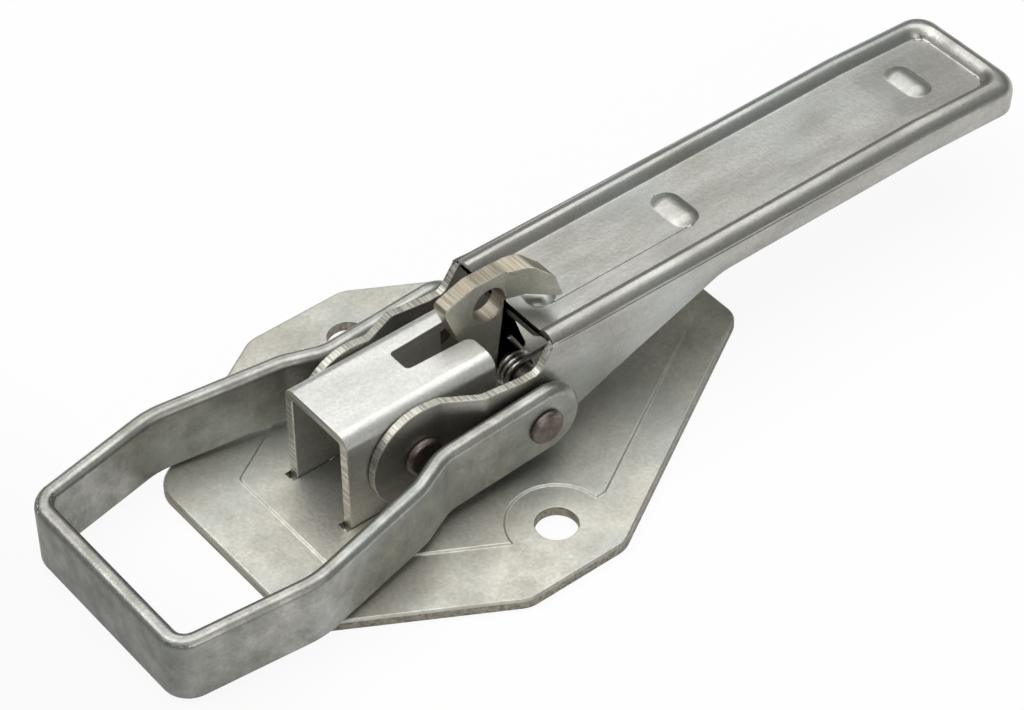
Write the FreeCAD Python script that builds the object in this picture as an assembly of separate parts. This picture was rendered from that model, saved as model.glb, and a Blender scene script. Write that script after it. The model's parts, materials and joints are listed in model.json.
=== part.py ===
"""Over-centre toggle latch of zinc-plated pressed steel, closed, standing on its base plate.

Millimetres, +Z up. The origin is on the plate's underside, midway between its two bolt holes.
+X points along the closed lever to its free end, and the loop that takes the keeper lies at -X.
"""
import FreeCAD, Part
import math
import os

V = FreeCAD.Vector
X_AXIS = V(1, 0, 0)
Y_AXIS = V(0, 1, 0)
Z_AXIS = V(0, 0, 1)

BEYOND = 200.0           # half-size of the blocks that cut right across a piece

# Fits shared by several pieces
RUNNING_RADIAL = 0.05    # a pin in the hole that turns on it
RUNNING_AXIAL = 0.08     # a rivet head beside the sheet that turns under it
SIDE_PLAY = 0.3          # between the bracket's walls and the lever's cheeks

# Base plate: one pressed sheet with a long octagon outline
PLATE_T = 2.5
PLATE_FRONT_X = -56.2
PLATE_FRONT_HALF = 24.7
PLATE_SIDE_FRONT_X = -16.9
PLATE_SIDE_REAR_X = 7.5
PLATE_HALF = 47.7
PLATE_REAR_X = 68.5
PLATE_REAR_HALF = 12.1
PLATE_NOSE_R = 8.0       # corners of the front tongue
PLATE_EAR_R = 6.0        # corners beside the bolt holes
PLATE_TAIL_R = 5.0       # corners of the rear end
PLATE_EDGE = 0.5         # rolled-over upper edge of the blanked outline
HOLE_R = 4.5
HOLE_SPACING = 70.0
FIELD_RISE = 0.4         # the middle of the plate is pressed up by this much
FIELD_FRONT_INSET = 13.6
FIELD_SIDE_INSET = 15.0
FIELD_REAR_INSET = 8.4
FIELD_EAR_INSET = 13.0
FIELD_TAIL_INSET = 4.0
HOLE_SEAT_R = 10.4       # round pad left low around each bolt hole

# Bracket: an upturned U of sheet whose walls are tabbed through the plate
BRACKET_T = 2.5
BRACKET_HALF = 10.4
BRACKET_FRONT_X = -33.1
BRACKET_REAR_X = 4.4
BRACKET_H = 24.75        # above the pressed-up middle of the plate
BRACKET_BEND_R = 3.2     # outside radius of its two folds
TAB_LENGTH = 8.5
SLOT_END_PLAY = 1.2
SLOT_SIDE_PLAY = 0.1
WEB_SLOT_Y = 1.3         # the web's slot and the catch are a little off the middle
WEB_SLOT_FRONT_X = -11.3
WEB_SLOT_HALF = 2.9
WEB_SLOT_MOUTH_HALF = 3.5
WEB_SLOT_CORNER_R = 1.0
WEB_LOBE_R = 2.0

# Main pivot: a rivet through the bracket and the lever's two cheeks
PIVOT_X = -16.5
PIVOT_Z = 15.2
PIVOT_R = 3.0
PIVOT_HEAD_R = 4.4
PIVOT_HEAD_H = 1.5

# Loop pivot: a short rivet on each side, through the lever's cheek and the loop's arm
LOOP_PIN_X = 8.3
LOOP_PIN_Z = 14.4
LOOP_PIN_R = 2.5
LOOP_PIN_HEAD_R = 4.0
LOOP_PIN_HEAD_H = 1.5
LOOP_PIN_COLLAR_R = 3.6
LOOP_PIN_INNER_HEAD_R = 3.4
LOOP_PIN_INNER_HEAD_H = 1.2
RIM_SHARE = 0.5          # bevel of a formed head's rim, as a share of its height

# Lever: one deep pressing, from the cheeks at the bracket to the tail of the handle
LEVER_T = 2.0
LEVER_HALF = 16.5
LEVER_TOP_Z = 30.8
LEVER_FRONT_X = 14.8
LEVER_TAIL_X = 147.0
LEVER_TAIL_R = 6.0
LEVER_RIM_R = 2.4        # outside rounding from the rim into the wall
LEVER_WALL_Z = 23.1      # lower edge of the handle's walls
LEVER_WALL_BEND_X = 59.5 # forward of here the walls deepen towards the pivots
LEVER_KNEE_X = 31.0
LEVER_KNEE_Z = 12.9
BEND_X = 117.5
BEND_DEG = 3.0           # the tail is set down by this angle
PANEL_DROP = 2.3         # the panel lies this far below the rim
PANEL_HALF = 8.1
PANEL_END_X = 140.6
PANEL_CORNER_R = 3.0
PANEL_SLOPE = 3.6        # plan width of the slope from panel to rim
RIM_CREST_R = 2.2
BOSS_R = 12.0            # cheek round the main pivot
LOOP_BOSS_R = 9.5        # cheek round the loop pivot
WAIST_X = 10.3           # lowest point of the cheek's upper edge
WAIST_Z = 23.3
WAIST_R = 3.5
JOGGLE_CLEAR = 0.9       # flat left beyond the rivet head before the cheek turns out
JOGGLE_LENGTH = 8.2
JOGGLE_R = 3.0
BUMP_X = (22.0, 60.5, 127.5)
BUMP_LENGTH = 11.8
BUMP_WIDTH = 6.6
BUMP_H = 1.2

# Loop: flat bar on edge, bent to a six-sided loop
LOOP_T = 4.0
LOOP_H = 16.5
LOOP_EDGE = 1.1          # bevel along its long edges
LOOP_TILT_DEG = 3.4      # the front end lies lower than the pivots
LOOP_GAP = 0.8           # between the lever's wall and the loop's arm
LOOP_END_SHIFT = 1.2     # each arm's round end is struck this far behind the rivet
LOOP_FRONT_X = -85.8
LOOP_FRONT_HALF = 26.1
LOOP_FRONT_R = 6.5
LOOP_WIDE_X = -54.0
LOOP_WIDE_HALF = 30.7
LOOP_WIDE_R = 20.0
LOOP_SHOULDER_X = -24.5
LOOP_SHOULDER_HALF = 24.9
LOOP_SHOULDER_R = 12.0
LOOP_NECK_X = -16.2
LOOP_NECK_R = 8.0

# Safety catch: thick plate standing in the slot, with a thumb tab bent to one side
CATCH_T = 4.0
CATCH_PIN_X = 15.2
CATCH_PIN_Z = 12.2
CATCH_PIN_R = 3.0
CATCH_BOSS_R = 5.2
CATCH_REAR_PLAY = 0.3    # between its rear edge and the panel's front edge
CATCH_HOLE_X = 10.4
CATCH_HOLE_Z = 31.4
CATCH_HOLE_R = 4.0
CATCH_NECK_R = 1.0
CATCH_HEAD = (           # corners of the head and thumb tab from the side: x, z, rounding
    (2.0, 27.2, 1.2),
    (-1.2, 35.8, 1.6),
    (6.5, 38.4, 5.0),
    (15.0, 38.3, 2.0),
    (18.6, 40.2, 1.6),
    (21.8, 38.0, 1.6),
    (23.4, 34.6, 1.2),
    (17.5, 32.5, 2.0),
)
TAB_BEND_X = 14.9
TAB_BEND_DEG = 43.0
TAB_BEND_R = 1.5         # inside radius of the thumb tab's bend
TAB_ROOT_Z = 30.9        # the sheet below this height stays straight
TAB_SHEET_LENGTH = 14.0  # plan length of sheet beyond the bend, before the outline is cut

# Catch spring: torsion spring on the catch's pin
WIRE_R = 0.6
WIRE_SIDES = 8
COIL_PLAY = 0.3          # between the coil and the pin inside it
COIL_TURNS = 2.83
COIL_STEPS = 14          # straight runs that stand for each turn
COIL_GAP = 0.1
CATCH_LEG_LENGTH = 7.5
CATCH_LEG_DEG = 30.0     # where the coil begins, so that this leg leans with the catch
HANDLE_LEG_LENGTH = 9.0


def ground_z():
    """Top of the plate's pressed-up middle."""
    return PLATE_T + FIELD_RISE


def rounded_wire(corners):
    """Closed wire in the XY plane through (x, y, radius) corners, each rounded by an arc."""
    count = len(corners)
    edges = []
    starts = []
    ends = []
    mids = []
    for i, (x, y, r) in enumerate(corners):
        here = V(x, y, 0)
        before = V(*corners[i - 1][:2], 0) - here
        after = V(*corners[(i + 1) % count][:2], 0) - here
        before.normalize()
        after.normalize()
        half = before.getAngle(after) / 2
        if r <= 0:
            starts.append(here)
            ends.append(here)
            mids.append(None)
            continue
        reach = r / math.tan(half)
        inward = before + after
        inward.normalize()
        starts.append(here + before * reach)
        ends.append(here + after * reach)
        mids.append(here + inward * (r / math.sin(half) - r))
    for i in range(count):
        if mids[i] is not None:
            edges.append(Part.Arc(starts[i], mids[i], ends[i]).toShape())
        following = starts[(i + 1) % count]
        if ends[i].distanceToPoint(following) > 1e-6:
            edges.append(Part.LineSegment(ends[i], following).toShape())
    return Part.Wire(Part.__sortEdges__(edges))


def plan_prism(corners, z_low, z_high):
    """Upright prism over a plan outline of (x, y, radius) corners."""
    wire = rounded_wire(corners)
    wire.translate(V(0, 0, z_low))
    return Part.Face(wire).extrude(V(0, 0, z_high - z_low))


def side_prism(corners, y_low, y_high):
    """Prism across Y over a side outline of (x, z, radius) corners."""
    shape = plan_prism(corners, -y_high, -y_low)
    shape.rotate(V(0, 0, 0), X_AXIS, 90)
    return shape


def cross_pin(x, z, r, y_low, y_high):
    """Cylinder along Y."""
    return Part.makeCylinder(r, y_high - y_low, V(x, y_low, z), Y_AXIS)


def mirrored(shape):
    """The same shape on the other side of the XZ plane."""
    return shape.mirror(V(0, 0, 0), Y_AXIS)


def formed_head(x, z, r, y_low, height):
    """Formed rivet head with a bevelled rim, standing from y_low towards +Y."""
    head = cross_pin(x, z, r, y_low, y_low + height)
    rim = [e for e in head.Edges if abs(e.CenterOfMass.y - y_low - height) < 1e-6]
    return head.makeChamfer(height * RIM_SHARE, rim)


def mirrored_outline(half_corners):
    """Closed outline from its corners on the +Y side, listed from the front to the rear."""
    other = [(x, -y, r) for x, y, r in reversed(half_corners)]
    return half_corners + other


def plate_corners():
    """Base plate outline."""
    return mirrored_outline([
        (PLATE_FRONT_X, PLATE_FRONT_HALF, PLATE_NOSE_R),
        (PLATE_SIDE_FRONT_X, PLATE_HALF, PLATE_EAR_R),
        (PLATE_SIDE_REAR_X, PLATE_HALF, PLATE_EAR_R),
        (PLATE_REAR_X, PLATE_REAR_HALF, PLATE_TAIL_R),
    ])


def field_solid(z_low, z_high):
    """The part of the plate that is pressed up: its outline drawn in, less the seats of the holes."""
    front_slope = math.atan2(PLATE_HALF - PLATE_FRONT_HALF, PLATE_SIDE_FRONT_X - PLATE_FRONT_X)
    rear_slope = math.atan2(PLATE_HALF - PLATE_REAR_HALF, PLATE_REAR_X - PLATE_SIDE_REAR_X)
    front_x = PLATE_FRONT_X + FIELD_FRONT_INSET
    rear_x = PLATE_REAR_X - FIELD_TAIL_INSET
    ear_half = PLATE_HALF - FIELD_EAR_INSET
    front_drop = FIELD_SIDE_INSET / math.cos(front_slope)
    rear_drop = FIELD_REAR_INSET / math.cos(rear_slope)

    def front_half(x):
        return PLATE_FRONT_HALF - front_drop + (x - PLATE_FRONT_X) * math.tan(front_slope)

    def rear_half(x):
        return PLATE_REAR_HALF - rear_drop + (PLATE_REAR_X - x) * math.tan(rear_slope)

    ear_front_x = PLATE_FRONT_X + (ear_half - PLATE_FRONT_HALF + front_drop) / math.tan(front_slope)
    ear_rear_x = PLATE_REAR_X - (ear_half - PLATE_REAR_HALF + rear_drop) / math.tan(rear_slope)
    corners = mirrored_outline([
        (front_x, front_half(front_x), 2.0),
        (ear_front_x, ear_half, 2.0),
        (ear_rear_x, ear_half, 2.0),
        (rear_x, max(rear_half(rear_x), 4.0), 1.0),
    ])
    field = plan_prism(corners, z_low, z_high)
    for side in (-1, 1):
        seat = Part.makeCylinder(HOLE_SEAT_R, z_high - z_low + 2, V(0, side * HOLE_SPACING / 2, z_low - 1))
        field = field.cut(seat)
    return field


def tab_spans():
    """Where the bracket's tabs begin and end along X."""
    return [(BRACKET_FRONT_X, BRACKET_FRONT_X + TAB_LENGTH), (BRACKET_REAR_X - TAB_LENGTH, BRACKET_REAR_X)]


def make_base_plate():
    """Blanked and pressed sheet with two bolt holes and four slots for the bracket's tabs."""
    plate = plan_prism(plate_corners(), 0, PLATE_T)
    top = [e for e in plate.Edges if e.BoundBox.ZMin > PLATE_T - 1e-6]
    plate = plate.makeChamfer(PLATE_EDGE, top)
    plate = plate.fuse(field_solid(PLATE_T - 0.2, PLATE_T + FIELD_RISE))
    plate = plate.cut(field_solid(-1, FIELD_RISE))
    for side in (-1, 1):
        hole = Part.makeCylinder(HOLE_R, PLATE_T + 2, V(0, side * HOLE_SPACING / 2, -1))
        plate = plate.cut(hole)
        for x_low, x_high in tab_spans():
            wall_mid = side * (BRACKET_HALF - BRACKET_T / 2)
            half = BRACKET_T / 2 + SLOT_SIDE_PLAY
            slot = Part.makeBox(x_high - x_low + 2 * SLOT_END_PLAY, 2 * half, PLATE_T + 3,
                                V(x_low - SLOT_END_PLAY, wall_mid - half, -1))
            plate = plate.cut(slot)
    return plate.removeSplitter()


def make_bracket():
    """Folded U with a slot in its web and four tabs through the plate."""
    low = ground_z()
    high = low + BRACKET_H
    length = BRACKET_REAR_X - BRACKET_FRONT_X

    def profile(half, top, radius):
        corners = [(-half, low, 0), (half, low, 0), (half, top, radius), (-half, top, radius)]
        wire = rounded_wire(corners)
        face = Part.Face(wire)
        face.rotate(V(0, 0, 0), X_AXIS, 90)
        face.rotate(V(0, 0, 0), Z_AXIS, 90)
        face.translate(V(BRACKET_FRONT_X, 0, 0))
        return face

    outer = profile(BRACKET_HALF, high, BRACKET_BEND_R).extrude(V(length, 0, 0))
    inner = profile(BRACKET_HALF - BRACKET_T, high - BRACKET_T, BRACKET_BEND_R - BRACKET_T)
    bracket = outer.cut(inner.extrude(V(length, 0, 0)))
    mouth_x = BRACKET_REAR_X
    slot = plan_prism([
        (WEB_SLOT_FRONT_X, WEB_SLOT_Y - WEB_SLOT_HALF, WEB_SLOT_CORNER_R),
        (WEB_SLOT_FRONT_X, WEB_SLOT_Y + WEB_SLOT_HALF, WEB_SLOT_CORNER_R),
        (mouth_x + 1, WEB_SLOT_Y + WEB_SLOT_MOUTH_HALF, 0),
        (mouth_x + 1, WEB_SLOT_Y - WEB_SLOT_MOUTH_HALF, 0),
    ], high - BRACKET_T - 1, high + 1)
    bracket = bracket.cut(slot)
    lobes = [e for e in bracket.Edges
             if abs(e.CenterOfMass.x - mouth_x) < 0.1 and abs(e.BoundBox.ZLength - BRACKET_T) < 1e-6
             and abs(e.CenterOfMass.y - WEB_SLOT_Y) < WEB_SLOT_MOUTH_HALF + 0.5 and e.CenterOfMass.z > high - BRACKET_T]
    bracket = bracket.makeFillet(WEB_LOBE_R, lobes)
    for side in (-1, 1):
        for x_low, x_high in tab_spans():
            y_low = BRACKET_HALF - BRACKET_T if side > 0 else -BRACKET_HALF
            tab = Part.makeBox(x_high - x_low, BRACKET_T, PLATE_T, V(x_low, y_low, FIELD_RISE))
            bracket = bracket.fuse(tab)
    bracket = bracket.cut(cross_pin(PIVOT_X, PIVOT_Z, PIVOT_R + RUNNING_RADIAL, -BRACKET_HALF - 1, BRACKET_HALF + 1))
    return bracket.removeSplitter()


def cheek_inner():
    """Inside half-width between the cheeks where they run beside the bracket."""
    return BRACKET_HALF + SIDE_PLAY


def cheek_outer():
    """Outside half-width of the cheeks beside the bracket."""
    return cheek_inner() + LEVER_T


def loop_inner():
    """Half-width between the loop's two parallel arms."""
    return LEVER_HALF + LOOP_GAP


def tangent_point(cx, cz, r, qx, qz, turn):
    """Where a line from the point q touches a circle; turn is +1 or -1 for the two sides."""
    distance = math.hypot(qx - cx, qz - cz)
    toward = math.atan2(qz - cz, qx - cx)
    angle = toward + turn * math.acos(r / distance)
    return cx + r * math.cos(angle), cz + r * math.sin(angle)


def lower_tangent():
    """Ends of the line that touches both bosses from below: on the main boss, on the loop's boss."""
    run = math.hypot(LOOP_PIN_X - PIVOT_X, LOOP_PIN_Z - PIVOT_Z)
    toward = math.atan2(LOOP_PIN_Z - PIVOT_Z, LOOP_PIN_X - PIVOT_X)
    angle = toward - math.acos((BOSS_R - LOOP_BOSS_R) / run)
    main = (PIVOT_X + BOSS_R * math.cos(angle), PIVOT_Z + BOSS_R * math.sin(angle))
    loop = (LOOP_PIN_X + LOOP_BOSS_R * math.cos(angle), LOOP_PIN_Z + LOOP_BOSS_R * math.sin(angle))
    return main, loop


def lever_side_blank():
    """Solid across Y with the lever's side outline, before the tail is set down."""
    half = LEVER_HALF + 2
    over = LEVER_TOP_Z + 2
    top_x, top_z = tangent_point(PIVOT_X, PIVOT_Z, BOSS_R, WAIST_X, WAIST_Z, 1)
    low_x, low_z = tangent_point(LOOP_PIN_X, LOOP_PIN_Z, LOOP_BOSS_R, LEVER_KNEE_X, LEVER_KNEE_Z, -1)
    main, loop = lower_tangent()
    blank = side_prism([
        (top_x, top_z, 0),
        (WAIST_X, WAIST_Z, WAIST_R),
        (LEVER_FRONT_X, LEVER_TOP_Z - 1, 0),
        (LEVER_FRONT_X, over, 0),
        (LEVER_TAIL_X + 2, over, 0),
        (LEVER_TAIL_X + 2, LEVER_WALL_Z, 0),
        (LEVER_WALL_BEND_X, LEVER_WALL_Z, 14.0),
        (LEVER_KNEE_X, LEVER_KNEE_Z, 14.0),
        (low_x, low_z, 0),
        (LOOP_PIN_X, LOOP_PIN_Z, 0),
        (*loop, 0),
        (*main, 0),
        (PIVOT_X, PIVOT_Z, 0),
    ], -half, half)
    blank = blank.fuse(cross_pin(PIVOT_X, PIVOT_Z, BOSS_R, -half, half))
    blank = blank.fuse(cross_pin(LOOP_PIN_X, LOOP_PIN_Z, LOOP_BOSS_R, -half, half))
    return blank.removeSplitter()


def cheek_plan(inset):
    """Plan outline round both cheeks, drawn in by inset, from their front end back to the handle."""
    start_x = PIVOT_X + PIVOT_HEAD_R + JOGGLE_CLEAR
    front_x = PIVOT_X - BOSS_R - 1
    narrow = cheek_outer() - inset
    wide = LEVER_HALF - inset
    return mirrored_outline([
        (front_x - inset, narrow, 0),
        (start_x, narrow, JOGGLE_R),
        (start_x + JOGGLE_LENGTH, wide, JOGGLE_R),
        (LEVER_FRONT_X + 2 + inset, wide, 0),
    ])


def panel_recess(grow, drop):
    """Tapered pocket above the panel; grow widens it and drop lowers it for the sheet's other face."""
    start = LEVER_FRONT_X - 12
    low_z = LEVER_TOP_Z - PANEL_DROP - drop
    reach = PANEL_DROP + drop + 3
    spread = PANEL_SLOPE / PANEL_DROP * reach
    wires = []
    for wider, z in ((grow, low_z), (grow + spread, low_z + reach)):
        wire = rounded_wire(mirrored_outline([
            (start - wider, PANEL_HALF + wider, 0),
            (PANEL_END_X + wider, PANEL_HALF + wider, PANEL_CORNER_R + wider),
        ]))
        wire.translate(V(0, 0, z))
        wires.append(wire)
    return Part.makeLoft(wires, True, True)


def handle_block(inset, z_low, z_high):
    """Handle from before the panel's front edge to the tail, drawn in by inset."""
    return plan_prism(mirrored_outline([
        (LEVER_FRONT_X - 10 - inset, LEVER_HALF - inset, 0),
        (LEVER_TAIL_X - inset, LEVER_HALF - inset, LEVER_TAIL_R - inset),
    ]), z_low, z_high)


def on_long_edges(shape, z):
    """Edges of a handle solid at one height, without the one across its front end."""
    front = shape.BoundBox.XMin
    return [e for e in shape.Edges
            if abs(e.BoundBox.ZMin - z) < 1e-4 and abs(e.BoundBox.ZMax - z) < 1e-4
            and e.BoundBox.XMax > front + 1e-3]


def bump_form(x, z_base):
    """Cylinder that lies across the panel and rises above z_base by the height of a bump."""
    radius = ((BUMP_WIDTH / 2) ** 2 + BUMP_H ** 2) / (2 * BUMP_H)
    reach = (BUMP_LENGTH - BUMP_WIDTH) / 2
    z = z_base + BUMP_H - radius
    return cross_pin(x, z, radius, -reach, reach), radius, reach, z


def above(shape, x, z_base):
    """What of a bump stands above the panel's face."""
    keep = Part.makeBox(2 * BUMP_WIDTH, 2 * BUMP_LENGTH, BUMP_H + 1,
                        V(x - BUMP_WIDTH, -BUMP_LENGTH, z_base - 0.01))
    return shape.common(keep)


def make_bump(x, z_base):
    """Long low dome across the panel: a lying cylinder with ball ends."""
    dome, radius, reach, z = bump_form(x, z_base)
    for side in (-1, 1):
        dome = dome.fuse(Part.makeSphere(radius, V(x, side * reach, z)))
    return above(dome, x, z_base)


def make_bump_hollow(x, z_base):
    """Trough that the press leaves under a bump, kept plain because it is hidden in the handle."""
    return above(bump_form(x, z_base)[0], x, z_base)


def make_handle():
    """Handle shell with its sunk panel, rolled rim and three cross bumps, still straight."""
    base = LOOP_PIN_Z - LOOP_BOSS_R - 1
    panel_z = LEVER_TOP_Z - PANEL_DROP
    outer = handle_block(0, base, LEVER_TOP_Z)
    outer = outer.makeFillet(LEVER_RIM_R, on_long_edges(outer, LEVER_TOP_Z))
    outer = outer.cut(panel_recess(0, 0))
    crest = [e for e in on_long_edges(outer, LEVER_TOP_Z) if abs(e.CenterOfMass.y) < PANEL_HALF + PANEL_SLOPE + 0.5
             and e.BoundBox.XMax < PANEL_END_X + PANEL_SLOPE + 0.5]
    outer = outer.makeFillet(RIM_CREST_R, crest)
    hollow = handle_block(LEVER_T, base - 1, LEVER_TOP_Z - LEVER_T)
    hollow = hollow.cut(panel_recess(LEVER_T * 0.55, LEVER_T))
    shell = outer.cut(hollow)
    for x in BUMP_X:
        shell = shell.fuse(make_bump(x, panel_z))
        shell = shell.cut(make_bump_hollow(x, panel_z - LEVER_T))
    return shell.removeSplitter()


def cutting_block(x_low, x_high, half_width):
    """Tall block between two places along X, as wide as stated on each side of the middle."""
    return Part.makeBox(x_high - x_low, 2 * half_width, 2 * BEYOND, V(x_low, -half_width, -BEYOND))


def half_space(tilt_deg, side):
    """Large block on one side of the plane across the handle at its bend."""
    box = cutting_block(BEND_X, BEYOND, BEYOND) if side > 0 else cutting_block(-BEYOND, BEND_X, BEYOND)
    box.rotate(V(BEND_X, 0, LEVER_TOP_Z), Y_AXIS, tilt_deg)
    return box


def set_down_tail(shell):
    """Bend the tail down: the two lengths meet in the plane that halves the bend."""
    front = shell.common(half_space(BEND_DEG / 2, -1))
    tail = shell.common(half_space(-BEND_DEG / 2, 1))
    tail.rotate(V(BEND_X, 0, LEVER_TOP_Z), Y_AXIS, BEND_DEG)
    return front.fuse(tail)


def make_lever():
    """Lever pressing: joggled cheeks, walls and handle in one sheet."""
    blank = lever_side_blank()
    low = PIVOT_Z - BOSS_R - 1
    high = LEVER_TOP_Z
    cheeks = plan_prism(cheek_plan(0), low, high).cut(plan_prism(cheek_plan(LEVER_T), low - 1, high + 1))
    seam_x = LEVER_FRONT_X - LEVER_T
    cheeks = cheeks.common(blank).cut(cutting_block(seam_x, BEYOND, BEYOND))
    handle = make_handle().common(blank).cut(cutting_block(-BEYOND, seam_x, BEYOND))
    handle = handle.cut(cutting_block(-BEYOND, LEVER_FRONT_X, LEVER_HALF - LEVER_T))
    lever = cheeks.fuse(set_down_tail(handle))
    reach = LEVER_HALF + 1
    lever = lever.cut(cross_pin(PIVOT_X, PIVOT_Z, PIVOT_R + RUNNING_RADIAL, -reach, reach))
    lever = lever.cut(cross_pin(LOOP_PIN_X, LOOP_PIN_Z, LOOP_PIN_R + RUNNING_RADIAL, -reach, reach))
    lever = lever.cut(cross_pin(CATCH_PIN_X, CATCH_PIN_Z, CATCH_PIN_R + RUNNING_RADIAL, -reach, reach))
    return lever.removeSplitter()


def make_pivot_rivet():
    """Rivet across the bracket and both cheeks, headed at each end."""
    reach = cheek_outer() + RUNNING_AXIAL
    head = formed_head(PIVOT_X, PIVOT_Z, PIVOT_HEAD_R, reach, PIVOT_HEAD_H)
    rivet = cross_pin(PIVOT_X, PIVOT_Z, PIVOT_R, -reach - 0.1, reach + 0.1)
    return rivet.fuse(head).fuse(mirrored(head)).removeSplitter()


def make_loop_rivet(side):
    """Short rivet with a head inside the cheek, a collar beside it and a head outside the loop's arm."""
    inner_face = LEVER_HALF - LEVER_T - RUNNING_AXIAL
    outer_face = loop_inner() + LOOP_T + RUNNING_AXIAL
    rivet = cross_pin(LOOP_PIN_X, LOOP_PIN_Z, LOOP_PIN_R, inner_face - 0.1, outer_face + 0.1)
    inner = cross_pin(LOOP_PIN_X, LOOP_PIN_Z, LOOP_PIN_INNER_HEAD_R, inner_face - LOOP_PIN_INNER_HEAD_H, inner_face)
    collar = cross_pin(LOOP_PIN_X, LOOP_PIN_Z, LOOP_PIN_COLLAR_R, LEVER_HALF + RUNNING_AXIAL,
                       loop_inner() - RUNNING_AXIAL)
    head = formed_head(LOOP_PIN_X, LOOP_PIN_Z, LOOP_PIN_HEAD_R, outer_face, LOOP_PIN_HEAD_H)
    rivet = rivet.fuse(inner).fuse(collar).fuse(head).removeSplitter()
    return rivet if side > 0 else mirrored(rivet)


def loop_plan():
    """Plan outline of the loop's outer face, closed well behind its open end."""
    arm = loop_inner() + LOOP_T
    return mirrored_outline([
        (LOOP_FRONT_X, LOOP_FRONT_HALF, LOOP_FRONT_R),
        (LOOP_WIDE_X, LOOP_WIDE_HALF, LOOP_WIDE_R),
        (LOOP_SHOULDER_X, LOOP_SHOULDER_HALF, LOOP_SHOULDER_R),
        (LOOP_NECK_X, arm, LOOP_NECK_R),
        (LOOP_PIN_X + 2 * LOOP_H, arm, 0),
    ])


def loop_side_band():
    """Solid across Y with the loop's side outline: a sloping band with a round end at the rivets."""
    half = LOOP_H / 2
    end_x = LOOP_PIN_X + LOOP_END_SHIFT
    far = 2 * LOOP_WIDE_HALF
    band = side_prism([
        (LOOP_FRONT_X - LOOP_H, LOOP_PIN_Z - half, 0),
        (end_x, LOOP_PIN_Z - half, 0),
        (end_x, LOOP_PIN_Z + half, 0),
        (LOOP_FRONT_X - LOOP_H, LOOP_PIN_Z + half, 0),
    ], -far, far)
    band = band.fuse(cross_pin(end_x, LOOP_PIN_Z, half, -far, far)).removeSplitter()
    band.rotate(V(LOOP_PIN_X, 0, LOOP_PIN_Z), Y_AXIS, -LOOP_TILT_DEG)
    return band


def make_loop():
    """Flat bar bent on edge; its two arms end in rounds about the loop rivets."""
    wire = rounded_wire(loop_plan())
    wire.translate(V(0, 0, -LOOP_H))
    inner = wire.makeOffset2D(-LOOP_T)
    rise = V(0, 0, 4 * LOOP_H)
    strip = Part.Face(wire).extrude(rise).cut(Part.Face(inner).extrude(rise))
    loop = strip.common(loop_side_band()).removeSplitter()
    long_edges = [e for e in loop.Edges if e.BoundBox.XLength > 1e-3 or e.BoundBox.YLength > 1e-3]
    loop = loop.makeChamfer(LOOP_EDGE, long_edges)
    reach = loop_inner() + LOOP_T + 1
    return loop.cut(cross_pin(LOOP_PIN_X, LOOP_PIN_Z, LOOP_PIN_R + RUNNING_RADIAL, -reach, reach))


def catch_side_blank():
    """Solid across Y with the catch's side outline, thumb tab included."""
    rear_x = LEVER_FRONT_X - CATCH_REAR_PLAY
    neck_z = LEVER_TOP_Z - PANEL_DROP
    under_z = neck_z - LEVER_T - 2
    outline = [
        (CATCH_PIN_X - CATCH_BOSS_R, CATCH_PIN_Z, CATCH_NECK_R),
        *CATCH_HEAD,
        (rear_x, neck_z + PANEL_DROP, CATCH_NECK_R),
        (rear_x, under_z, CATCH_NECK_R),
        (CATCH_PIN_X + CATCH_BOSS_R, CATCH_PIN_Z + CATCH_BOSS_R / 2, CATCH_NECK_R),
        (CATCH_PIN_X, CATCH_PIN_Z, 0),
    ]
    blank = side_prism(outline, -BEYOND, BEYOND)
    return blank.fuse(cross_pin(CATCH_PIN_X, CATCH_PIN_Z, CATCH_BOSS_R, -BEYOND, BEYOND)).removeSplitter()


def catch_plan_strip(z_low, z_high):
    """Plan of the catch's sheet: straight in the slot, then bent towards -Y."""
    low = WEB_SLOT_Y - CATCH_T / 2
    high = WEB_SLOT_Y + CATCH_T / 2
    angle = math.radians(TAB_BEND_DEG)
    step = CATCH_T * math.tan(angle / 2)
    near = V(TAB_BEND_X - step / 2, low, 0)
    far = V(TAB_BEND_X + step / 2, high, 0)
    along = V(math.cos(angle), -math.sin(angle), 0) * TAB_SHEET_LENGTH
    strip = [
        (-BEYOND, low, 0),
        (near.x, near.y, TAB_BEND_R),
        ((near + along).x, (near + along).y, 0),
        ((far + along).x, (far + along).y, 0),
        (far.x, far.y, TAB_BEND_R + CATCH_T),
        (-BEYOND, high, 0),
    ]
    return plan_prism(strip, z_low, z_high)


def make_catch():
    """Safety catch with its padlock hole and the hole for its pin."""
    bent = catch_plan_strip(TAB_ROOT_Z, BEYOND)
    near_face = WEB_SLOT_Y - CATCH_T / 2
    below = Part.makeBox(2 * BEYOND, CATCH_T, TAB_ROOT_Z + BEYOND, V(-BEYOND, near_face, -BEYOND))
    catch = bent.fuse(below).common(catch_side_blank())
    catch = catch.cut(cross_pin(CATCH_HOLE_X, CATCH_HOLE_Z, CATCH_HOLE_R, -BEYOND, BEYOND))
    catch = catch.cut(cross_pin(CATCH_PIN_X, CATCH_PIN_Z, CATCH_PIN_R + RUNNING_RADIAL, -BEYOND, BEYOND))
    return catch.removeSplitter()


def make_catch_pin():
    """Plain pin across the lever's walls, its ends flush with them."""
    return cross_pin(CATCH_PIN_X, CATCH_PIN_Z, CATCH_PIN_R, -LEVER_HALF, LEVER_HALF)


def wire_section(centre, along):
    """Outline of the spring's wire square to its run, an inscribed polygon that keeps the coil light."""
    side = Z_AXIS.cross(along)
    side.normalize()
    rise = along.cross(side)
    points = []
    for i in range(WIRE_SIDES + 1):
        turn = 2 * math.pi * i / WIRE_SIDES
        points.append(centre + (side * math.cos(turn) + rise * math.sin(turn)) * WIRE_R)
    return Part.makePolygon(points)


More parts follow.
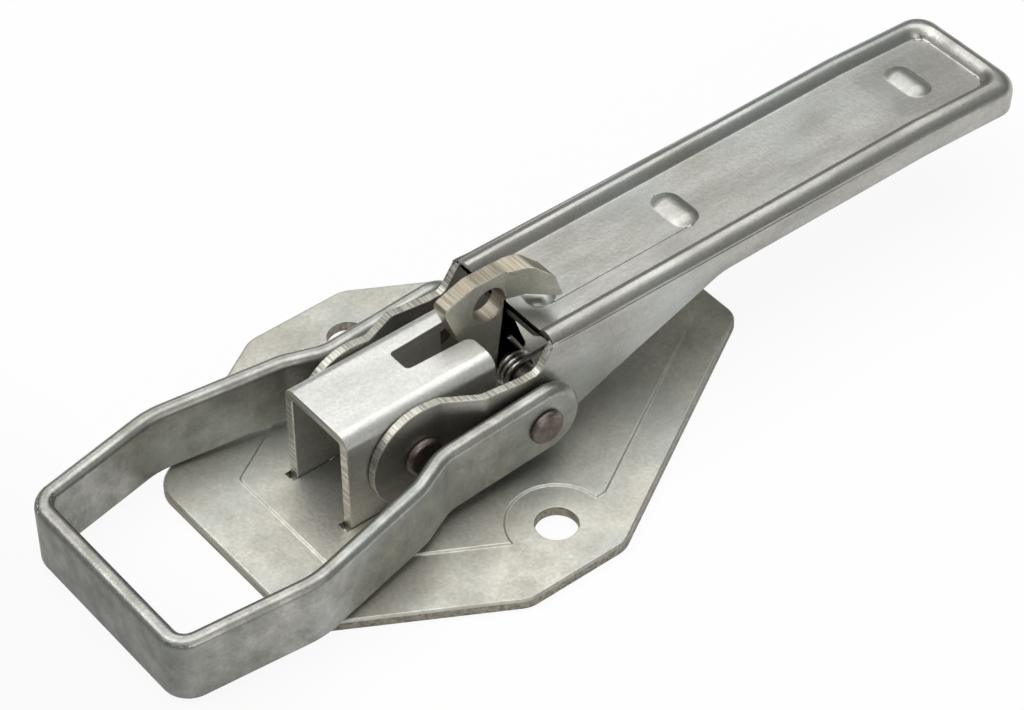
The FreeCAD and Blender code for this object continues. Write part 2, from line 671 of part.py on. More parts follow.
def make_catch_spring():
    """Coil round the catch's pin: one leg lies beside the catch, the other runs back along the handle."""
    coil_r = CATCH_PIN_R + COIL_PLAY + WIRE_R
    pitch = 2 * WIRE_R + COIL_GAP
    steps = round(COIL_TURNS * COIL_STEPS)
    sections = [wire_section(V(coil_r, CATCH_LEG_LENGTH, 0), -Y_AXIS)]
    for i in range(steps + 1):
        angle = -2 * math.pi * COIL_TURNS * i / steps
        centre = V(coil_r * math.cos(angle), coil_r * math.sin(angle), pitch * COIL_TURNS * i / steps)
        onward = V(math.sin(angle), -math.cos(angle), pitch / (2 * math.pi * coil_r))
        onward.normalize()
        sections.append(wire_section(centre, onward))
    level = V(onward.x, onward.y, 0)
    sections.append(wire_section(centre + level * HANDLE_LEG_LENGTH, onward))
    spring = Part.makeLoft(sections, True, True)
    spring.rotate(V(0, 0, 0), Z_AXIS, CATCH_LEG_DEG)
    spring.rotate(V(0, 0, 0), X_AXIS, 90)
    near_face = WEB_SLOT_Y - CATCH_T / 2
    spring.translate(V(CATCH_PIN_X, near_face - COIL_GAP - WIRE_R, CATCH_PIN_Z))
    return spring


def main():
    """Build and export every piece."""
    pieces = {
        "base_plate": make_base_plate(),
        "bracket": make_bracket(),
        "lever_pivot_rivet": make_pivot_rivet(),
        "lever": make_lever(),
        "loop": make_loop(),
        "loop_rivet_left": make_loop_rivet(-1),
        "loop_rivet_right": make_loop_rivet(1),
        "safety_catch": make_catch(),
        "catch_pin": make_catch_pin(),
        "catch_spring": make_catch_spring(),
    }
    os.makedirs("parts", exist_ok=True)
    for name, shape in pieces.items():
        shape.exportStep("parts/" + name + ".step")
        print(name, shape.ShapeType, len(shape.Solids), shape.isValid(), round(shape.Volume, 1))


main()
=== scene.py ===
# %% [markdown]
# # A toggle latch of zinc-plated steel
#
# The latch is ten steel pieces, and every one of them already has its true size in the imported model.
# What is left to do here is the finish: rolled edges, sheared edges, the grain of electroplated zinc,
# and a soft studio light that a satin metal needs before it looks like metal at all.
#
# The camera and the light come first, since they decide what a metal shows. Then come the finishes, and
# last the pieces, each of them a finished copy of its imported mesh.

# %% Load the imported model
import json
import math

import bmesh
import bpy
from mathutils import Matrix, Vector


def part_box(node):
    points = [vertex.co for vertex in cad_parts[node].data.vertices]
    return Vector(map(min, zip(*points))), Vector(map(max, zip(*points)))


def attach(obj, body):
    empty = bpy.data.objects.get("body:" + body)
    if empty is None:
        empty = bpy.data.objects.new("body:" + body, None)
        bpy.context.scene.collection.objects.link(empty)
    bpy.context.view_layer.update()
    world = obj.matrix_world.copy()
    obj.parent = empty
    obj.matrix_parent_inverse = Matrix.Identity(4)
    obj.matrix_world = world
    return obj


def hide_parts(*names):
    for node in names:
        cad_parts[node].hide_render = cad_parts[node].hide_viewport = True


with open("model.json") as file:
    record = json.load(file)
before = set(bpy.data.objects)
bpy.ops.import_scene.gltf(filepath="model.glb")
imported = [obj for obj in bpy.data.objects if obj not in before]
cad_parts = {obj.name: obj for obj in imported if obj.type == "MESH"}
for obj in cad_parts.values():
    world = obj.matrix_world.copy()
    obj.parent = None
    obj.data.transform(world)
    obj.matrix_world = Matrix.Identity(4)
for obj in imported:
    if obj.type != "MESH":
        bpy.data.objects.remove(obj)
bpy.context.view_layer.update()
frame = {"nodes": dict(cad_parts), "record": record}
MM = 0.001
print("nodes:", sorted(frame["nodes"]))


# %% [markdown]
# ## Small tools for materials
#
# Hex colours are what a designer writes down, and they are sRGB. Blender's sockets want linear light, so
# one function turns them. Another adds one node, sets its values and joins it to others, and a third
# empties a new material, which keeps every material below short enough to read.

# %% Colour and node helpers
def linear(hex_colour):
    """An sRGB hex colour as linear red, green, blue and alpha."""
    channels = [int(hex_colour[i:i + 2], 16) / 255 for i in (1, 3, 5)]
    turned = [c / 12.92 if c <= 0.04045 else ((c + 0.055) / 1.055) ** 2.4 for c in channels]
    return (*turned, 1.0)


def add_node(tree, kind, links=None, settings=None, **values):
    """Add a node: links joins its inputs to other sockets, values sets inputs, settings sets properties."""
    node = tree.nodes.new(kind)
    for name, value in (settings or {}).items():
        setattr(node, name, value)
    for name, value in values.items():
        node.inputs[name.replace("_", " ")].default_value = value
    for name, socket in (links or {}).items():
        tree.links.new(socket, node.inputs[name])
    return node


def empty_material(name):
    """New material with no nodes, and its node tree."""
    material = bpy.data.materials.new(name)
    material.use_nodes = True
    material.node_tree.nodes.clear()
    return material, material.node_tree


print("zinc grey", "#bab8b3", "is", [round(c, 3) for c in linear("#bab8b3")], "in linear light")


# %% [markdown]
# Three kinds of node turn up again and again: one that stretches a band of a pattern's values over
# another range, one that mixes two colours, and one that reckons with two numbers. A Mix node keeps
# sockets for numbers, vectors and colours side by side, so its colour sockets are picked by place.

# %% Nodes that recur
MIX_FIRST = 6
MIX_SECOND = 7
MIX_RESULT = 2


def map_range(tree, socket, low, high, to_low=0.0, to_high=1.0):
    """Values of a socket from low to high, stretched over to_low to to_high."""
    limits = {"From_Min": low, "From_Max": high, "To_Min": to_low, "To_Max": to_high}
    return add_node(tree, "ShaderNodeMapRange", {"Value": socket}, **limits).outputs["Result"]


def mix_colours(tree, share, first, second):
    """Mix of two colours, each of them a hex colour or a socket."""
    node = add_node(tree, "ShaderNodeMix", {"Factor": share}, {"data_type": "RGBA"})
    for place, colour in ((MIX_FIRST, first), (MIX_SECOND, second)):
        if isinstance(colour, str):
            node.inputs[place].default_value = linear(colour)
        else:
            tree.links.new(colour, node.inputs[place])
    return node.outputs[MIX_RESULT]


def maths(tree, operation, first, second):
    """Output of a Math node on two sockets, or on a socket and a number."""
    node = add_node(tree, "ShaderNodeMath", settings={"operation": operation})
    for place, value in enumerate((first, second)):
        if isinstance(value, float):
            node.inputs[place].default_value = value
        else:
            tree.links.new(value, node.inputs[place])
    return node.outputs["Value"]


print("a Mix node's colour sockets:", MIX_FIRST, MIX_SECOND, "and its result", MIX_RESULT)


# %% [markdown]
# ## The camera
#
# The view was found by fitting a camera to the plate's corners, the holes and the bracket's edges, so the
# numbers are an azimuth, an elevation, a small roll and a place. The lens is long, as a product
# photographer's is, which keeps the near loop and the far tail at nearly one scale.

# %% Camera
VIEW_AZIMUTH = math.radians(-38.23)
VIEW_ELEVATION = math.radians(44.14)
VIEW_ROLL = math.radians(-0.72)
LENS_MM = 121.15
SENSOR_MM = 36.0
CAMERA_PLACE = Vector((-299.49, -401.32, 508.88)) * MM
NEAREST_SEEN = 10 * MM


def direction(azimuth, elevation):
    """Unit vector at an azimuth, where 0 is the near side and 90 degrees is +X, and an elevation."""
    return Vector((math.sin(azimuth) * math.cos(elevation),
                   -math.cos(azimuth) * math.cos(elevation),
                   math.sin(elevation)))


def view_axes():
    """Right, up and back of the fitted view."""
    back = direction(VIEW_AZIMUTH, VIEW_ELEVATION)
    level_right = (-back).cross(Vector((0, 0, 1))).normalized()
    level_up = level_right.cross(-back)
    right = level_right * math.cos(VIEW_ROLL) + level_up * math.sin(VIEW_ROLL)
    up = level_up * math.cos(VIEW_ROLL) - level_right * math.sin(VIEW_ROLL)
    return right, up, back


scene = bpy.context.scene
scene.view_settings.view_transform = "Standard"
camera_data = bpy.data.cameras.new("photo_view")
camera_data.lens = LENS_MM
camera_data.sensor_width = SENSOR_MM
camera_data.sensor_fit = "HORIZONTAL"
camera_data.clip_start = NEAREST_SEEN
camera = bpy.data.objects.new("photo_view", camera_data)
scene.collection.objects.link(camera)
camera_turn = Matrix(view_axes()).transposed()
camera.matrix_world = Matrix.Translation(CAMERA_PLACE) @ camera_turn.to_4x4()
scene.camera = camera
print("camera", [round(v, 3) for v in CAMERA_PLACE], "lens", LENS_MM)


# %% [markdown]
# ## The lamps
#
# Bright metal shows its surroundings, so the light is built from large soft panels: a broad one from
# behind and above that makes the top faces pale, one from behind on the left that picks out the far
# flanks of the rims, and little from the front, which leaves the near walls dark as in the photo.

# %% Lamps
CENTRE = Vector((0.03, 0.0, 0.015))


def soft_panel(name, azimuth_deg, elevation_deg, distance, width, height, power):
    """Area lamp that faces the latch from an azimuth and an elevation, in metres and watts."""
    away = direction(math.radians(azimuth_deg), math.radians(elevation_deg))
    data = bpy.data.lights.new(name, "AREA")
    data.shape = "RECTANGLE"
    data.size = width
    data.size_y = height
    data.energy = power
    lamp = bpy.data.objects.new(name, data)
    lamp.location = CENTRE + away * distance
    lamp.rotation_euler = away.to_track_quat("Z", "Y").to_euler()
    scene.collection.objects.link(lamp)
    return lamp


lamps = [
    soft_panel("overhead_panel", 178, 79, 1.1, 1.8, 1.25, 11.2),
    soft_panel("left_panel", -125, 48, 1.3, 0.7, 0.6, 2.4),
    soft_panel("front_fill", -10, 28, 1.5, 0.9, 0.5, 2.9),
]
print("lamps:", {lamp.name: lamp.data.energy for lamp in lamps})


# %% [markdown]
# ## The dome
#
# The world is a plain grey dome, darker towards the horizon. That dark band is what gives the rims and
# the loop their dark flanks.

# %% World
DOME_STRENGTH = 0.62
HORIZON_GREY = "#5e6867"
ZENITH_GREY = "#d2d4d1"
ZENITH_FROM = 0.9


def build_world():
    """Grey dome, brighter overhead."""
    world = bpy.data.worlds.new("studio_dome")
    world.use_nodes = True
    tree = world.node_tree
    tree.nodes.clear()
    place = add_node(tree, "ShaderNodeTexCoord")
    parts = add_node(tree, "ShaderNodeSeparateXYZ", {"Vector": place.outputs["Generated"]})
    ramp = add_node(tree, "ShaderNodeValToRGB", {"Fac": parts.outputs["Z"]})
    low, high = ramp.color_ramp.elements
    low.position = 0.0
    low.color = linear(HORIZON_GREY)
    high.position = ZENITH_FROM
    high.color = linear(ZENITH_GREY)
    dome = add_node(tree, "ShaderNodeBackground", {"Color": ramp.outputs["Color"]}, Strength=DOME_STRENGTH)
    add_node(tree, "ShaderNodeOutputWorld", {"Surface": dome.outputs["Background"]})
    return world


scene.world = build_world()
print("dome from", HORIZON_GREY, "to", ZENITH_GREY)


# %% [markdown]
# ## The table
#
# The table is white to the eye through Light Path, and still takes the latch's shadow. Metal shows that
# white too, though weaker: the share was chosen for the dark flanks that the photo shows. In front of the
# loop the table is painted dark grey, as painted shade that the loop's front shows in its reflections.

# %% Table
# In front of the loop the table is painted dark grey, as painted shade for the metal's reflections; it fades
# to white paper over 45 mm.
PAINTED_SHADE_TO = -0.10
WHITE_PAPER_FROM = -0.055
PAINTED_SHADE_GREY = 0.4
WHITE_PAPER = 0.85
WHITE_TO_EYE = 0.92
WHITE_IN_METAL = 0.3
TABLE_HALF = 6.0
TABLE_GAP = 0.05 * MM


def table_material():
    """Matt white paper that glows towards the camera and, more weakly, towards metal, with painted shade in
    front of the loop.
    """
    material, tree = empty_material("white_table")
    place = add_node(tree, "ShaderNodeTexCoord")
    parts = add_node(tree, "ShaderNodeSeparateXYZ", {"Vector": place.outputs["Object"]})
    # The dark grey in front of the loop is painted shade, which metal shows in its reflections.
    white = map_range(tree, parts.outputs["X"], PAINTED_SHADE_TO, WHITE_PAPER_FROM)
    paper = map_range(tree, white, 0.0, 1.0, PAINTED_SHADE_GREY, WHITE_PAPER)
    paint = add_node(tree, "ShaderNodeBsdfDiffuse", {"Color": paper})
    glow = add_node(tree, "ShaderNodeEmission", Color=(1, 1, 1, 1), Strength=1.0)
    path = add_node(tree, "ShaderNodeLightPath")
    mirrored = maths(tree, "MAXIMUM", path.outputs["Is Glossy Ray"], path.outputs["Is Transmission Ray"])
    mirrored = maths(tree, "MULTIPLY", mirrored, white)
    mirrored = maths(tree, "MULTIPLY", mirrored, WHITE_IN_METAL)
    straight = maths(tree, "MULTIPLY", path.outputs["Is Camera Ray"], WHITE_TO_EYE)
    both = add_node(tree, "ShaderNodeMixShader", {"Fac": maths(tree, "MAXIMUM", straight, mirrored)})
    tree.links.new(paint.outputs["BSDF"], both.inputs[1])
    tree.links.new(glow.outputs["Emission"], both.inputs[2])
    add_node(tree, "ShaderNodeOutputMaterial", {"Surface": both.outputs["Shader"]})
    return material


table_mesh = bpy.data.meshes.new("table_top")
table_form = bmesh.new()
bmesh.ops.create_grid(table_form, x_segments=1, y_segments=1, size=TABLE_HALF)
table_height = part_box("base_plate")[0].z - TABLE_GAP
bmesh.ops.translate(table_form, verts=table_form.verts, vec=(0, 0, table_height))
table_form.to_mesh(table_mesh)
table_form.free()
table_mesh.materials.append(table_material())
table = bpy.data.objects.new("table_top", table_mesh)
scene.collection.objects.link(table)
print("table top at", round(table_height / MM, 3), "mm")


# %% [markdown]
# ## Electroplated zinc
#
# Zinc is a thin silvery coat over steel, and what lies under it sets the look. Rolled sheet leaves a
# dull, cloudy plate, folding and drawing stretch the clouds along the piece, and a deep drawing gives
# the skin a fine orange peel. One function makes the coat from a few measures in millimetres: the size
# of its clouds, the size of its grain, how far the clouds are stretched, and a faint passivation colour.

# %% The plated metal
CLOUD_BAND = (0.32, 0.68)
GRAIN_BAND = (0.3, 0.7)
GRAIN_TONE = (0.86, 1.08)
DULL_ROUGHER = 0.07
PALE_SMOOTHER = 0.05
PEEL_SHARE = 0.12
PATCH_MM = 26
PATCH_BAND = (0.45, 0.75)
PATCH_MOST = 0.5


def noise(tree, vector, size_mm, detail, roughness=0.5):
    """Noise whose features are about size_mm across."""
    node = add_node(tree, "ShaderNodeTexNoise", {"Vector": vector}, Scale=1 / (size_mm * MM),
                    Detail=detail, Roughness=roughness)
    return node.outputs["Fac"]


def plated_metal(name, pale, dull, roughness, cloud_mm, grain_mm, peel, streak=None, tint=None):
    """Zinc plating: clouds of two greys, a fine grain in the tone, and a shallow orange peel."""
    material, tree = empty_material(name)
    place = add_node(tree, "ShaderNodeTexCoord").outputs["Object"]
    stretched = add_node(tree, "ShaderNodeMapping", {"Vector": place}, Scale=streak or (1, 1, 1))
    clouds = noise(tree, stretched.outputs["Vector"], cloud_mm, 5.0, 0.62)
    grain = noise(tree, place, grain_mm, 3.0, 0.7)
    colour = mix_colours(tree, map_range(tree, clouds, *CLOUD_BAND), dull, pale)
    toned = add_node(tree, "ShaderNodeVectorMath", {0: colour}, {"operation": "SCALE"})
    tree.links.new(map_range(tree, grain, *GRAIN_BAND, *GRAIN_TONE), toned.inputs["Scale"])
    base = toned.outputs["Vector"]
    if tint:
        patches = noise(tree, place, PATCH_MM, 2.0)
        base = mix_colours(tree, map_range(tree, patches, *PATCH_BAND, 0.0, PATCH_MOST), base, tint)
    gloss = map_range(tree, clouds, *GRAIN_BAND, roughness + DULL_ROUGHER, roughness - PALE_SMOOTHER)
    relief = add_node(tree, "ShaderNodeBump", {"Height": grain}, Strength=peel,
                      Distance=grain_mm * MM * PEEL_SHARE)
    shader = add_node(tree, "ShaderNodeBsdfPrincipled",
                      {"Base Color": base, "Roughness": gloss, "Normal": relief.outputs["Normal"]},
                      Metallic=1.0)
    add_node(tree, "ShaderNodeOutputMaterial", {"Surface": shader.outputs["BSDF"]})
    return material


# Mill-rolled sheet, blanked and plated: dull and cloudy, with blue-grey passivation
SHEET = plated_metal("zinc_plated_rolled_sheet", "#dedbd1", "#c0bdb3", 0.48, 9.0, 0.9, 0.5, tint="#b9c4c4")
# Bright sheet folded in a press brake: the palest piece, its clouds drawn out along the fold
FOLDING = plated_metal("zinc_plated_folded_sheet", "#efeee9", "#d8d7d3", 0.45, 7.0, 0.7, 0.5,
                       streak=(0.25, 1.0, 1.0))
# Deep-drawn sheet: burnished by the die, so smoother than the rest
PRESSING = plated_metal("zinc_plated_deep_drawing", "#c6c4be", "#a9a7a1", 0.38, 6.0, 0.8, 0.5,
                        streak=(0.3, 1.0, 1.0), tint="#c2cbca")
# Cold-drawn flat bar, bent on edge
BAR = plated_metal("zinc_plated_drawn_bar", "#bdbcb5", "#9a9993", 0.38, 5.0, 0.8, 0.5, tint="#b8c2c0")
# Thick sheet, punched and barrel plated
CATCH_SKIN = plated_metal("dull_plated_thick_sheet", "#dddcd0", "#c4c4b7", 0.5, 4.0, 0.6, 0.6)
# Cold-formed rivet wire, brown where the forming scraped its coat
RIVET_SKIN = plated_metal("formed_rivet_steel", "#9b8f8a", "#6f6561", 0.42, 2.5, 0.5, 0.6)
# Drawn music wire
SPRING_SKIN = plated_metal("bright_spring_wire", "#cfcdc8", "#a6a49f", 0.28, 2.0, 0.4, 0.3)
print("plated:", [skin.name for skin in (SHEET, FOLDING, PRESSING, BAR, CATCH_SKIN, RIVET_SKIN, SPRING_SKIN)])


# %% [markdown]
# ## Sheared edges
#
# A punch leaves scores right through the thickness of a sheet, with bright lands between them. They
# stand side by side along the edge, so the pattern is fine along the latch and height, and is stretched
# across it.

# %% The sheared metal
SCORE_BAND = (0.38, 0.62)
SCORE_STRETCH = (1.0, 0.04, 1.0)
SCORE_HEIGHT = 0.15 * MM


def sheared_metal(name, land, score, pitch_mm):
    """Blanked edge of thick sheet, in the colour of its lands and of its scores."""
    material, tree = empty_material(name)
    place = add_node(tree, "ShaderNodeTexCoord").outputs["Object"]
    across = add_node(tree, "ShaderNodeMapping", {"Vector": place}, Scale=SCORE_STRETCH)
    scores = noise(tree, across.outputs["Vector"], pitch_mm, 2.0, 0.55)
    colour = mix_colours(tree, map_range(tree, scores, *SCORE_BAND), score, land)
    relief = add_node(tree, "ShaderNodeBump", {"Height": scores}, Strength=0.6, Distance=SCORE_HEIGHT)
    shader = add_node(tree, "ShaderNodeBsdfPrincipled",
                      {"Base Color": colour, "Normal": relief.outputs["Normal"]},
                      Metallic=1.0, Roughness=0.45)
    add_node(tree, "ShaderNodeOutputMaterial", {"Surface": shader.outputs["BSDF"]})
    return material


# Bracket ends and cheeks, sheared bright; catch and plate rims, punched and duller
SHEARED = sheared_metal("sheared_zinc_plated_edge", "#dcd9cf", "#a19e94", 0.5)
CATCH_RIM = sheared_metal("sheared_catch_rim", "#b3ab9b", "#938c7d", 0.5)
PLATE_EDGE = sheared_metal("sheared_plate_rim", "#a39d90", "#7d786d", 0.8)
print("sheared:", [edge.name for edge in (SHEARED, CATCH_RIM, PLATE_EDGE)])


# %% [markdown]
# ## Dressing a piece
#
# The imported meshes are exact but have knife edges, and no real steel edge is sharp: the punch rolls one
# side over, and plating fills in the rest. A copy of each mesh is merged, its flat faces are cleared of
# needless triangles, and a Bevel modifier rolls every edge sharper than a set angle. The copy stands for
# the node and rides on its body, so nothing about the construction changes.

# %% Dressing function
WELD = 0.002 * MM
FLAT_ANGLE = math.radians(0.8)
EDGE_ANGLE = math.radians(32)
FACE_WEIGHT = 90


def body_of(node):
    """Body that carries a node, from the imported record."""
    bodies = frame["record"]["behaviour"]["bodies"]
    return next(name for name, members in bodies.items() if node in members)


def dressed_mesh(node, is_sheared, shaping):
    """Merged copy of a node's mesh, with its sheared faces marked for the second material."""
    form = bmesh.new()
    form.from_mesh(frame["nodes"][node].data)
    bmesh.ops.remove_doubles(form, verts=form.verts, dist=WELD)
    bmesh.ops.dissolve_limit(form, angle_limit=FLAT_ANGLE, verts=form.verts, edges=form.edges)
    bmesh.ops.recalc_face_normals(form, faces=form.faces)
    if shaping:
        shaping(form)
        form.normal_update()
    for face in form.faces:
        face.smooth = True
        marked = is_sheared and is_sheared(face.calc_center_median() / MM, face.normal)
        face.material_index = 1 if marked else 0
    mesh = bpy.data.meshes.new(node + "_finish")
    form.to_mesh(mesh)
    form.free()
    return mesh


def dressed(node, material, edge_mm, segments=3, sheared=None, is_sheared=None, shaping=None):
    """Finished copy of a node with rolled edges, which takes the node's place in the construction."""
    mesh = dressed_mesh(node, is_sheared, shaping)
    mesh.materials.append(material)
    if sheared:
        mesh.materials.append(sheared)
    piece = bpy.data.objects.new(node + "_finish", mesh)
    scene.collection.objects.link(piece)
    bevel = piece.modifiers.new("rolled_edges", "BEVEL")
    bevel.affect = "EDGES"
    bevel.width = edge_mm * MM
    bevel.segments = segments
    bevel.profile = 0.5
    bevel.material = -1
    bevel.limit_method = "ANGLE"
    bevel.angle_limit = EDGE_ANGLE
    bevel.use_clamp_overlap = False
    bevel.harden_normals = True
    bevel.miter_outer = "MITER_ARC"
    weighted = piece.modifiers.new("flat_faces_stay_flat", "WEIGHTED_NORMAL")
    weighted.keep_sharp = True
    weighted.weight = FACE_WEIGHT
    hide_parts(node)
    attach(piece, body_of(node))
    print(node, "faces", len(mesh.polygons))
    return piece


# %% [markdown]
# ## The base plate
#
# The plate is a blanked sheet, so its rim is sheared right round: those are the faces that look sideways.
# Its middle is pressed up by less than half a millimetre, but a press cannot make an upright step, so the
# top of the step is leaned inwards. The raised face is filled anew afterwards, since its corners moved.

# %% Base plate
RIM_LEAN = 0.3
UPRIGHT = 0.1
LEVEL = 0.99
STEP_HIGHEST = 0.6 * MM
STEP_RUN = 0.35 * MM
TOP_BAND = 0.05 * MM


def plate_rim(centre, normal):
    """The plate's blanked outline, not its faces."""
    return abs(normal.z) < RIM_LEAN


def lean_step(form, top):
    """Move the upper points of the low step inwards, across the step's faces."""
    leans = {}
    for face in form.faces:
        if abs(face.normal.z) < UPRIGHT and min(vert.co.z for vert in face.verts) > top - STEP_HIGHEST:
            for vert in face.verts:
                if vert.co.z > top - TOP_BAND:
                    leans.setdefault(vert, []).append(Vector((face.normal.x, face.normal.y, 0)))
    ear = max(vert.co.y for vert in leans) - STEP_RUN
    for vert, normals in leans.items():
        lean = sum(normals, Vector())
        vert.co -= lean * (len(normals) / lean.length_squared) * STEP_RUN
        vert.co.y = min(max(vert.co.y, -ear), ear)
    return len(leans)


def soften_pressed_step(form):
    """Give the pressed-up middle a sloping foot and a new top face."""
    top = max(vert.co.z for vert in form.verts)
    print("step points leaned", lean_step(form, top))
    raised = {face for face in form.faces
              if face.normal.z > LEVEL and face.calc_center_median().z > top - TOP_BAND}
    outline = [edge for edge in form.edges if sum(face in raised for face in edge.link_faces) == 1]
    bmesh.ops.delete(form, geom=list(raised), context="FACES_ONLY")
    bmesh.ops.triangle_fill(form, use_beauty=True, use_dissolve=False, normal=(0, 0, 1), edges=outline)
    loose = [edge for edge in form.edges if not edge.link_faces]
    bmesh.ops.delete(form, geom=loose, context="EDGES")


dressed("base_plate", SHEET, 0.2, 2, PLATE_EDGE, plate_rim, soften_pressed_step)


# %% [markdown]
# ## The bracket and its rivet
#
# The bracket is folded, and only its cut ends show scores. They are the faces that look along the latch.

# %% Bracket and main rivet
END_FACING = 0.9


def bracket_ends(centre, normal):
    """The cut ends of the folded bracket."""
    return abs(normal.x) > END_FACING


dressed("bracket", FOLDING, 0.3, 3, SHEARED, bracket_ends)
dressed("lever_pivot_rivet", RIVET_SKIN, 0.35, 4)


# %% [markdown]
# ## The section of the lever's rim
#
# The lever is one deep drawing. Seen close, its rim is a broad round bead, and the sunk panel's steep foot
# lies just inside it. That is a section carried round three sides of the handle, so the height of any
# point follows from two distances: how far it lies inside the handle's outline, and how far outside the
# panel's. Both outlines are long rectangles with rounded far corners.

# %% Section of the rim
LEVER_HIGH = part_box("lever")[1]
TAIL_CORNER = 6.0 * MM
BEAD_RADIUS = 3.8 * MM
PANEL_HALF = 10.6 * MM
PANEL_INSET = 5.9 * MM
PANEL_CORNER = 3.0 * MM
PANEL_DEPTH = 2.3 * MM
PANEL_MARGIN = 3.0 * MM
STEP_WIDTH = 2.8 * MM
BEND_X = 117.5 * MM
BEND_SLOPE = math.tan(math.radians(3.0))


def outline_gap(x, y, half, end, corner):
    """Distance outside a handle-long outline with rounded far corners, negative inside it."""
    across = abs(y) - (half - corner)
    along = x - (end - corner)
    return math.hypot(max(across, 0), max(along, 0)) + min(max(across, along), 0) - corner


def rim_depth(x, y):
    """How far the skin lies below the top of the rim, and whether the place belongs to the rim."""
    inside = -outline_gap(x, y, LEVER_HIGH.y, LEVER_HIGH.x, TAIL_CORNER)
    outside = outline_gap(x, y, PANEL_HALF, LEVER_HIGH.x - PANEL_INSET, PANEL_CORNER)
    bead = 0.0
    if inside < BEAD_RADIUS:
        bead = BEAD_RADIUS - math.sqrt(max(BEAD_RADIUS ** 2 - (BEAD_RADIUS - inside) ** 2, 0.0))
    share = min(max(outside / STEP_WIDTH, 0.0), 1.0)
    step = PANEL_DEPTH * (1 - share) ** 2
    return max(bead, step), outside > -PANEL_MARGIN


def set_down(x):
    """How far the bent tail has dropped at a place along the handle."""
    return max(x - BEND_X, 0.0) * BEND_SLOPE


MID_HANDLE_X = 90 * MM
for inset_mm in (0, 2, 4, 5.9):
    depth = rim_depth(MID_HANDLE_X, LEVER_HIGH.y - inset_mm * MM)[0]
    print("rim", inset_mm, "mm in from the edge lies", round(depth / MM, 2), "mm down")


# %% [markdown]
# ## Rolling the rim
#
# The mesh has too few points there to hold that section. So the skin of the rim is cut by planes that lie
# close together across it, closest where the foot of the panel is steep, and then each point takes its
# height from the section.

# %% Cutting and setting the rim
HANDLE_FROM = 15.0 * MM
FACE_PLAY = 1.0 * MM
POINT_PLAY = 0.3 * MM
SKIN_DEPTH = 2.6 * MM
LOOKS_UP = 0.02
CUT_MERGE = 0.01 * MM
BEAD_CUTS_MM = [0.25, 0.6, 1.1, 1.7, 2.4, 3.1, 3.5, 3.9]
FOOT_CUTS_MM = [4.25, 4.6, 4.9, 5.2, 5.45, 5.7, 5.9, 6.15, 6.4, 6.7, 7.0, 7.4, 7.8, 8.3, 8.9]


def upper_skin(form):
    """Faces of the rim and its inner slope, seen from above."""
    chosen = []
    for face in form.faces:
        middle = face.calc_center_median()
        level = middle.z + set_down(middle.x)
        near_top = level > LEVER_HIGH.z - SKIN_DEPTH
        if face.normal.z > LOOKS_UP and near_top and middle.x > HANDLE_FROM - FACE_PLAY:
            chosen.append(face)
    return chosen


def roll_rim(form):
    """Cut the rim's skin finely and give it the section of a bead with a steep foot inside."""
    bmesh.ops.triangulate(form, faces=upper_skin(form))
    insets = [inset * MM for inset in BEAD_CUTS_MM + FOOT_CUTS_MM]
    planes = [((0, side * (LEVER_HIGH.y - inset), 0), (0, 1, 0)) for inset in insets for side in (-1, 1)]
    planes += [((LEVER_HIGH.x - inset, 0, 0), (1, 0, 0)) for inset in insets]
    for place, normal in planes:
        faces = upper_skin(form)
        edges = {edge for face in faces for edge in face.edges}
        verts = {vert for face in faces for vert in face.verts}
        bmesh.ops.bisect_plane(form, geom=[*verts, *edges, *faces], dist=CUT_MERGE,
                               plane_co=place, plane_no=normal)
    skin_points = {vert for face in upper_skin(form) for vert in face.verts}
    for vert in skin_points:
        depth, on_rim = rim_depth(vert.co.x, vert.co.y)
        if on_rim and vert.co.x > HANDLE_FROM - POINT_PLAY:
            vert.co.z = LEVER_HIGH.z - depth - set_down(vert.co.x)
    print("rim skin points", len(skin_points))


# %% [markdown]
# ## The lever, its catch pin and its spring
#
# The cheeks were blanked before they were drawn, so their edges carry the scores that show as fine
# bright lines beside the bracket. The spring and its pin sit between them.

# %% Lever, catch pin and spring
EDGE_LEAN = 0.35
CHEEK_REAR_X = 15.2
CHEEK_TOP_Z = 25.5
CHEEK_INNER_Y = 9


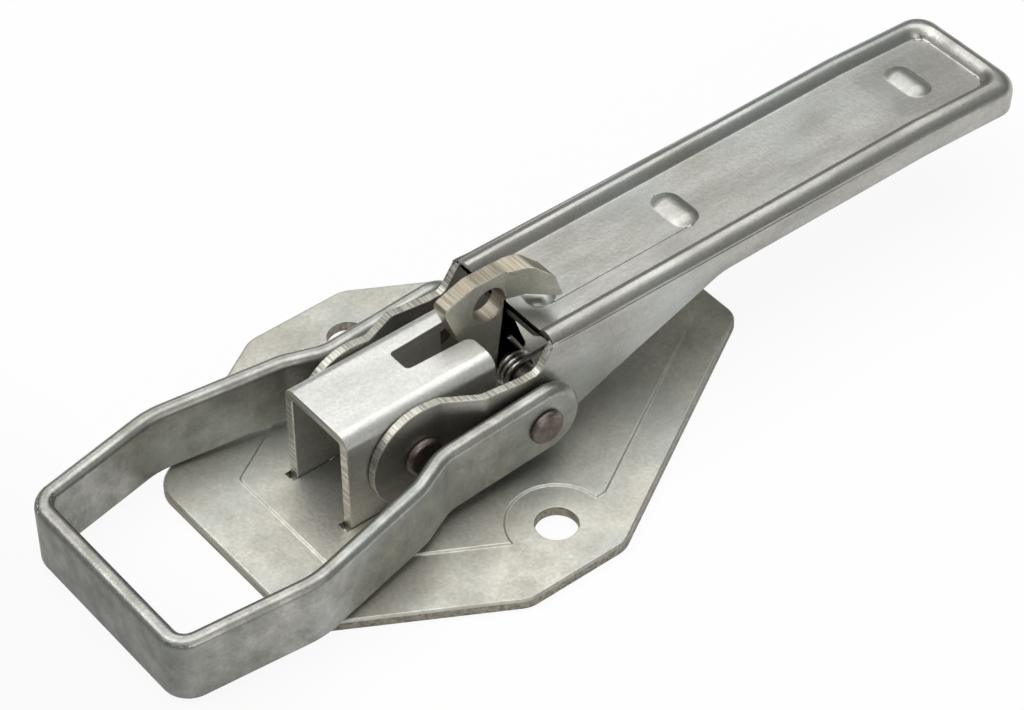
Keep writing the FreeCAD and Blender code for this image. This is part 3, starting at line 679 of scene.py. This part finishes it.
def cheek_edges(centre, normal):
    """The lever's blanked edges: no part of its drawn skin faces that way so low or so far forward."""
    low_or_forward = centre.x < CHEEK_REAR_X or centre.z < CHEEK_TOP_Z
    return abs(normal.y) < EDGE_LEAN and low_or_forward and abs(centre.y) > CHEEK_INNER_Y


dressed("lever", PRESSING, 0.25, 3, SHEARED, cheek_edges, roll_rim)
dressed("catch_pin", RIVET_SKIN, 0.2, 2)
dressed("catch_spring", SPRING_SKIN, 0.12, 2)


# %% [markdown]
# ## The loop and its rivets
#
# The loop is flat bar, bent on edge. Its long edges are well rounded by the drawing die, so the bevel is
# wider here than on the sheet pieces.

# %% Loop and loop rivets
dressed("loop", BAR, 0.55, 4)
for rivet in ("loop_rivet_left", "loop_rivet_right"):
    dressed(rivet, RIVET_SKIN, 0.35, 4)


# %% [markdown]
# ## The safety catch
#
# Thick plate, punched out and left duller than the rest. The punched rim shows its scores all round the
# head, the padlock hole and the thumb tab. The tab's end is blunt, so its lower edge is drawn down a
# little, more and more towards the end.

# %% Safety catch
PUNCHED_LEAN = 0.3
TAB_FACE_X = 15
TAB_FACE_Z = 31
TAB_FACE_LEAN = 0.5
TAB_ROOT_X = 17.9
TAB_END_X = 22.4
TAB_LOW_Z = 31.5
TAB_HIGH_Z = 36.3
TAB_DROP = 1.7


def catch_edges(centre, normal):
    """The catch's punched rim, without the faces of its bent tab."""
    tab_face = centre.x > TAB_FACE_X and centre.z > TAB_FACE_Z and abs(normal.z) < TAB_FACE_LEAN
    return abs(normal.y) < PUNCHED_LEAN and not tab_face


def blunt_thumb_tab(form):
    """Draw the lower edge of the thumb tab down towards its end."""
    for vert in form.verts:
        share = (vert.co.x / MM - TAB_ROOT_X) / (TAB_END_X - TAB_ROOT_X)
        if share > 0 and TAB_LOW_Z < vert.co.z / MM < TAB_HIGH_Z:
            vert.co.z -= min(share, 1.0) * TAB_DROP * MM


dressed("safety_catch", CATCH_SKIN, 0.3, 3, CATCH_RIM, catch_edges, blunt_thumb_tab)
